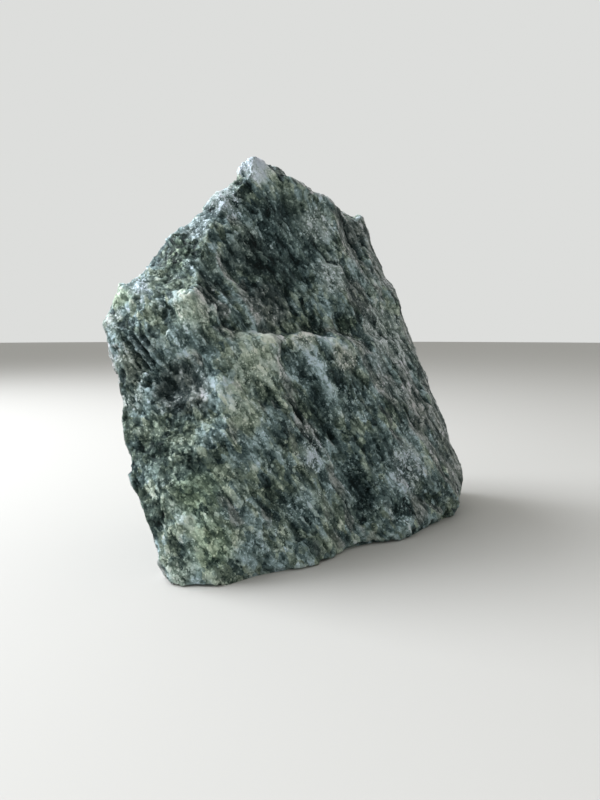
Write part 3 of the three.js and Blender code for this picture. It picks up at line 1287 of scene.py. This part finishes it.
    def _patched(self, sheet: Sheet, rock: Rock) -> tuple[Signal, bpy.types.NodeSocket, Signal]:
        """Mottles the rock all over, and then changes it patch by patch.

        Args:
            sheet: The finish's sheet.
            rock: The patterns of the rock.

        Returns:
            The tone, the tint, and how much talc there is.
        """
        leaf = rock.leaf
        body = (
            self.level
            + 0.50 * (sheet.clouds(rock.drawn, self.wide) - 0.5)
            + (1.34 - 0.6 * leaf) * (sheet.clouds(rock.drawn, self.coarse) - 0.5)
            + 0.42 * (rock.fine - 0.5)
            + (0.30 + 1.00 * leaf) * (rock.streaks - 0.5)
            # paler where the surface stands proud, as wear, and darker where it sinks, as painted shade
            # in the hollows
            + 0.30 * (sheet.attribute(RIDGE) - 0.5)
            + 0.25 * (sheet.attribute(BROW) - 0.5)
        )
        olive = sheet.clouds(rock.drawn, self.olive) + 0.24 * (rock.crystals.kind - 0.5)
        hue = sheet.mix(paint(Hue.TEAL.value), paint(Hue.OLIVE.value), olive.step(0.41, 0.65))
        hue = sheet.mix(hue, paint(Hue.BROWN.value), self.leaf_tint * leaf)
        talc = 0.15 * leaf + 0.5 * rock.vein
        loose = self._loosened(sheet, rock.place)
        for patch in PATCHES:
            here = sheet.near(loose, patch.centre, patch.reach)
            if patch.shade:
                body = body + patch.shade * here
            if patch.talc:
                talc = talc + patch.talc * here
            hue = sheet.mix(hue, paint(patch.hue.value), self.patch_tint * here)
        return body, hue, talc

    def _loosened(self, sheet: Sheet, place: bpy.types.NodeSocket) -> bpy.types.NodeSocket:
        """Bends places to and fro, so that patches that are round there have crooked borders.

        Args:
            sheet: The finish's sheet.
            place: Where on the surface, in millimetres.

        Returns:
            The bent places.
        """
        sockets = {"Vector": place, "Scale": 1.0 / self.loose_size, "Detail": 3.0}
        wander = sheet.add("ShaderNodeTexNoise", {}, sockets)
        centred = sheet.vector("SUBTRACT", wander.outputs["Color"], (0.5, 0.5, 0.5)).outputs[0]
        pushed = sheet.vector("MULTIPLY", centred, (self.loose,) * 3).outputs[0]
        return sheet.vector("ADD", place, pushed).outputs[0]

    def _glint(self, sheet: Sheet, rock: Rock, talc: Signal) -> Signal:
        """Picks the grains and specks that shine, which the finish makes glossier and paints paler as
        painted glints.

        Args:
            sheet: The finish's sheet.
            rock: The patterns of the rock.
            talc: How much talc there is.

        Returns:
            How much each shines, 0 for most.
        """
        frost = sheet.clouds(rock.place, self.frost).step(0.5, 0.75)
        spray = 0.08 * talc + 0.22 * frost
        shining = [(kind + spray).step(*self.shine) for kind in (rock.grains.kind, rock.specks.kind)]
        return shining[0] + shining[1]

    def _tone(self, rock: Rock, body: Signal, talc: Signal, glint: Signal) -> Signal:
        """Adds the veins, the grains and their painted glints to the rock's body.

        Args:
            rock: The patterns of the rock.
            body: Its tone in clouds, streaks and patches.
            talc: How much talc there is.
            glint: How much the grains shine, which is painted here as paler grains.

        Returns:
            The tone, from 0 for the darkest.
        """
        return (
            body
            - self.slack * body.above(self.knee)
            + rock.vein * (0.1 + rock.fine + 0.8 * rock.grains.shade)
            + 0.24 * (rock.crystals.shade - 0.5)
            + 0.20 * (rock.grains.shade - 0.5)
            + 0.10 * (rock.specks.shade - 0.5)
            # painted glints: the shining grains painted paler, the more so where there is more talc
            + (0.34 + 0.16 * talc) * glint
            - 0.16 * rock.crystals.kind.step(0.18, 0.0)
        )

    def _height(self, rock: Rock) -> Signal:
        """The height of the grains' tilted faces and of the finest clouds, in millimetres."""
        faces = 0.6 * rock.crystals.face + 0.65 * rock.grains.face + 0.45 * rock.specks.face
        return faces + 0.25 * rock.fine + 0.10 * rock.grains.shade + 0.06 * rock.specks.shade


@dataclass(frozen=True)
class PaleFloorFinish:
    """A plain, matt, pale surface.

    Attributes:
        colour: Its colour.
    """

    colour: str = "#bdbbb6"

    def material(self) -> bpy.types.Material:
        """Builds the finish.

        Returns:
            The material.
        """
        material = bpy.data.materials.new("pale_floor")
        sheet = Sheet(material)
        shader = sheet.add(
            "ShaderNodeBsdfPrincipled", {}, {"Base Color": paint(self.colour), "Roughness": 0.85}
        )
        sheet.add("ShaderNodeOutputMaterial", {}, {"Surface": shader.outputs[0]})
        return material


# ---------------------------------------------------------------- the studio


@dataclass
class Studio:
    """The pale floor, the soft lights and the camera.

    Attributes:
        floor_radius: Radius of the floor, in metres.
        eye: Where the camera is, in metres.
        dip: How far the camera looks down, in degrees.
        lens: Focal length for a 36 mm long side, in millimetres.
        window: Where the soft light hangs, in metres.
        window_side: Length of its sides, in metres.
        window_power: Its power in watts.
        sky: Colour of the light from all round.
        sky_front: Its strength from the side that the camera is on.
        sky_back: Its strength from the other side.
        fill: Where the weaker soft light hangs, in metres.
        fill_side: Length of its sides, in metres.
        fill_power: Its power in watts.
        light_colour: Colour of both soft lights.
    """

    floor_radius: float = 6.0
    eye: tuple[float, float, float] = (-0.0051, -0.3027, 0.0985)
    dip: float = 6.46
    lens: float = 27.0
    window: tuple[float, float, float] = (-0.8, 0.1, 0.85)
    window_side: float = 0.7
    window_power: float = 22.0
    sky: str = "#e2e3e1"
    sky_front: float = 0.4
    sky_back: float = 0.95
    fill: tuple[float, float, float] = (-0.9, -0.7, 0.7)
    fill_side: float = 0.8
    fill_power: float = 3.0
    light_colour: str = "#f4f8ff"

    def build(self) -> None:
        """Makes the floor, the lights and the camera."""
        self._lay_floor()
        self._hang_light("window", self.window, self.window_side, self.window_power)
        self._hang_light("fill", self.fill, self.fill_side, self.fill_power)
        self._light_sky()
        self._place_camera()

    def _lay_floor(self) -> None:
        """Lays a round floor at the height of the stone's sole."""
        disc = bmesh.new()
        bmesh.ops.create_circle(disc, cap_ends=True, segments=96, radius=self.floor_radius)
        mesh = bpy.data.meshes.new("floor")
        disc.to_mesh(mesh)
        disc.free()
        mesh.materials.append(PaleFloorFinish().material())
        floor = bpy.data.objects.new("floor", mesh)
        bpy.context.scene.collection.objects.link(floor)

    def _hang_light(
        self, name: str, place: tuple[float, float, float], side: float, power: float
    ) -> None:
        """Hangs a square soft light that faces the stone.

        Args:
            name: The light's name.
            place: Where it hangs, in metres.
            side: Length of its sides, in metres.
            power: Its power in watts.
        """
        low, high = CAD_BOX
        data = bpy.data.lights.new(name, "AREA")
        data.size = side
        data.energy = power
        data.color = paint(self.light_colour)[:3]
        light = bpy.data.objects.new(name, data)
        light.location = place
        towards = (low + high) / 2 - light.location
        light.rotation_euler = towards.to_track_quat("-Z", "Y").to_euler()
        bpy.context.scene.collection.objects.link(light)

    def _light_sky(self) -> None:
        """Lights the room from all round, least from the side that the camera is on."""
        world = bpy.data.worlds.new("sky")
        sheet = Sheet(world)
        direction = sheet.add("ShaderNodeTexCoord", {}, {}).outputs["Generated"]
        apart = sheet.add("ShaderNodeSeparateXYZ", {}, {"Vector": direction})
        backward = Signal(sheet, apart.outputs["Y"]).step(-0.9, 0.35)
        strength = self.sky_front + (self.sky_back - self.sky_front) * backward
        light = sheet.add("ShaderNodeBackground", {}, {"Color": paint(self.sky), "Strength": strength})
        sheet.add("ShaderNodeOutputWorld", {}, {"Surface": light.outputs[0]})
        bpy.context.scene.world = world

    def _place_camera(self) -> None:
        """Places the camera in front of the stone."""
        data = bpy.data.cameras.new("eye")
        data.lens = self.lens
        camera = bpy.data.objects.new("eye", data)
        camera.location = self.eye
        camera.rotation_euler = (math.radians(90.0 - self.dip), 0.0, 0.0)
        bpy.context.scene.collection.objects.link(camera)
        bpy.context.scene.camera = camera


def main() -> None:
    """Builds the studio and the stone, and logs how many triangles the stone has."""
    logging.basicConfig(level=logging.INFO, format="%(name)s: %(message)s")
    bpy.context.scene.view_settings.view_transform = "Standard"
    Studio().build()
    stone = StoneBlock().build()
    stone.data.materials.append(SoapstoneFinish().material())
    log.info("%s has %d triangles", stone.name, len(stone.data.polygons))


if __name__ == "__main__":
    main()
